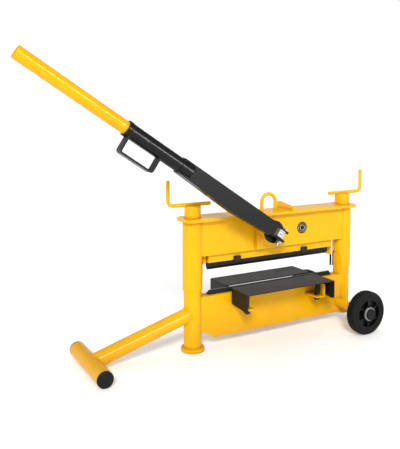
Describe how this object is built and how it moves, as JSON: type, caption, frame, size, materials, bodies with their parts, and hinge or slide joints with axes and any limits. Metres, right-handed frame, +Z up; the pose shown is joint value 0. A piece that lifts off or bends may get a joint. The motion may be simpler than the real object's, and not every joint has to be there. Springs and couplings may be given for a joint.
{
  "type": "block splitter",
  "caption": "Lever-operated splitter for tiles, slabs and paving blocks: height-set bridge with blade over sprung tables, outrigger foot and wheels.",
  "frame": {"origin": "on the floor, midway between the axes of the two columns", "axes": "+Z up; +X along the blades towards the wheels; the lever stands on the -Y side and points to -X"},
  "size_m": [1.0807, 0.322, 0.7787],
  "materials": {
    "yellow_powder_coat": "semi-gloss powder coat",
    "black_powder_coat": "satin powder coat",
    "blade_steel": "hardened, blackened",
    "black_fasteners": "black oxide",
    "bare_steel": "machined, bright",
    "bronze": "machined",
    "black_plastic": "moulded, matt",
    "tyre_rubber": "solid rubber, matt",
    "rim_plastic": "moulded, satin",
    "bearing_plastic": "light grey, matt"
  },
  "bodies": {
    "base": {"left_column": "yellow_powder_coat", "right_column": "yellow_powder_coat", "column_foot": "yellow_powder_coat", "lower_beam": "yellow_powder_coat", "blade_seat": "yellow_powder_coat", "lower_blade": "blade_steel", "blade_set_screws": "black_fasteners", "outrigger_tube": "yellow_powder_coat", "foot_cross_tube": "yellow_powder_coat", "foot_end_caps": "black_plastic", "table_brackets": "yellow_powder_coat", "axle_tube": "yellow_powder_coat", "wheel_axle": "bare_steel", "axle_end_caps": "black_plastic", "spindle_nuts": "bronze", "front_table_springs": "black_fasteners", "rear_table_springs": "black_fasteners"},
    "front_table": {"front_table": "black_powder_coat", "front_table_studs": "black_fasteners"},
    "rear_table": {"rear_table": "black_powder_coat", "rear_table_studs": "black_fasteners"},
    "front_wheel": {"front_wheel_tyre": "tyre_rubber", "front_wheel_rim": "rim_plastic", "front_wheel_bearings": "bearing_plastic"},
    "rear_wheel": {"rear_wheel_tyre": "tyre_rubber", "rear_wheel_rim": "rim_plastic", "rear_wheel_bearings": "bearing_plastic"},
    "bridge": {"left_sleeve": "yellow_powder_coat", "right_sleeve": "yellow_powder_coat", "top_plate": "yellow_powder_coat", "front_cheek": "yellow_powder_coat", "rear_cheek": "yellow_powder_coat", "pivot_doubler": "yellow_powder_coat", "shaft_housing": "yellow_powder_coat", "shaft_bushes": "bronze", "lifting_eye": "yellow_powder_coat", "top_rib": "yellow_powder_coat", "beam_guides": "yellow_powder_coat", "gap_scale": "black_plastic", "return_springs": "bare_steel"},
    "blade_carrier": {"blade_beam": "yellow_powder_coat", "upper_blade": "blade_steel", "blade_clamp_bolts": "black_fasteners"},
    "lever": {"eccentric_shaft": "bare_steel", "eccentric_cam": "bare_steel", "shaft_clip": "black_fasteners", "thrust_disc": "black_powder_coat", "clamp_fork": "black_powder_coat", "clamp_bolt": "bare_steel", "lever_arm": "black_powder_coat", "lever_socket": "black_powder_coat", "handle_lock_screw": "black_fasteners", "grab_handle": "black_powder_coat"},
    "handle": {"handle_extension": "yellow_powder_coat"},
    "left_crank": {"left_crank_rod": "yellow_powder_coat", "left_crank_hub": "yellow_powder_coat", "left_spindle": "bare_steel"},
    "right_crank": {"right_crank_rod": "yellow_powder_coat", "right_crank_hub": "yellow_powder_coat", "right_spindle": "bare_steel"}
  },
  "joints": [
    {"name": "bridge_height", "type": "slide", "parent": "base", "child": "bridge", "axis": [0, 0, 1], "range_m": [-0.046, 0.084]},
    {"name": "left_crank_turn", "type": "hinge", "parent": "bridge", "child": "left_crank", "pos_m": [-0.261, 0, 0.36], "axis": [0, 0, 1], "range_deg": [-4140, 7560]},
    {"name": "right_crank_turn", "type": "hinge", "parent": "bridge", "child": "right_crank", "pos_m": [0.261, 0, 0.36], "axis": [0, 0, 1], "range_deg": [-4140, 7560]},
    {"name": "lever_swing", "type": "hinge", "parent": "bridge", "child": "lever", "pos_m": [-0.05, 0, 0.315], "axis": [0, 1, 0], "range_deg": [-25, 45]},
    {"name": "blade_press", "type": "slide", "parent": "bridge", "child": "blade_carrier", "axis": [0, 0, 1], "range_m": [-0.003, 0.005], "deforming": ["return_springs"]},
    {"name": "handle_slide", "type": "slide", "parent": "lever", "child": "handle", "axis": [-0.8348, 0, 0.5505], "range_m": [-0.11, 0.04]},
    {"name": "front_table_press", "type": "slide", "parent": "base", "child": "front_table", "axis": [0, 0, 1], "range_m": [-0.008, 0], "stiffness_N_per_m": 8000, "springref_m": 0.008, "deforming": ["front_table_springs"]},
    {"name": "rear_table_press", "type": "slide", "parent": "base", "child": "rear_table", "axis": [0, 0, 1], "range_m": [-0.008, 0], "stiffness_N_per_m": 8000, "springref_m": 0.008, "deforming": ["rear_table_springs"]},
    {"name": "front_wheel_spin", "type": "hinge", "parent": "base", "child": "front_wheel", "pos_m": [0.234, -0.1355, 0.0625], "axis": [0, 1, 0], "continuous": true},
    {"name": "rear_wheel_spin", "type": "hinge", "parent": "base", "child": "rear_wheel", "pos_m": [0.234, 0.1355, 0.0625], "axis": [0, 1, 0], "continuous": true}
  ],
  "couplings": [
    {"joint": "left_crank_turn", "follows": "bridge_height", "rad_per_m": 1570.8},
    {"joint": "right_crank_turn", "follows": "bridge_height", "rad_per_m": 1570.8},
    {"joint": "blade_press", "follows": "lever_swing", "m_per_rad": 0.0058}
  ]
}
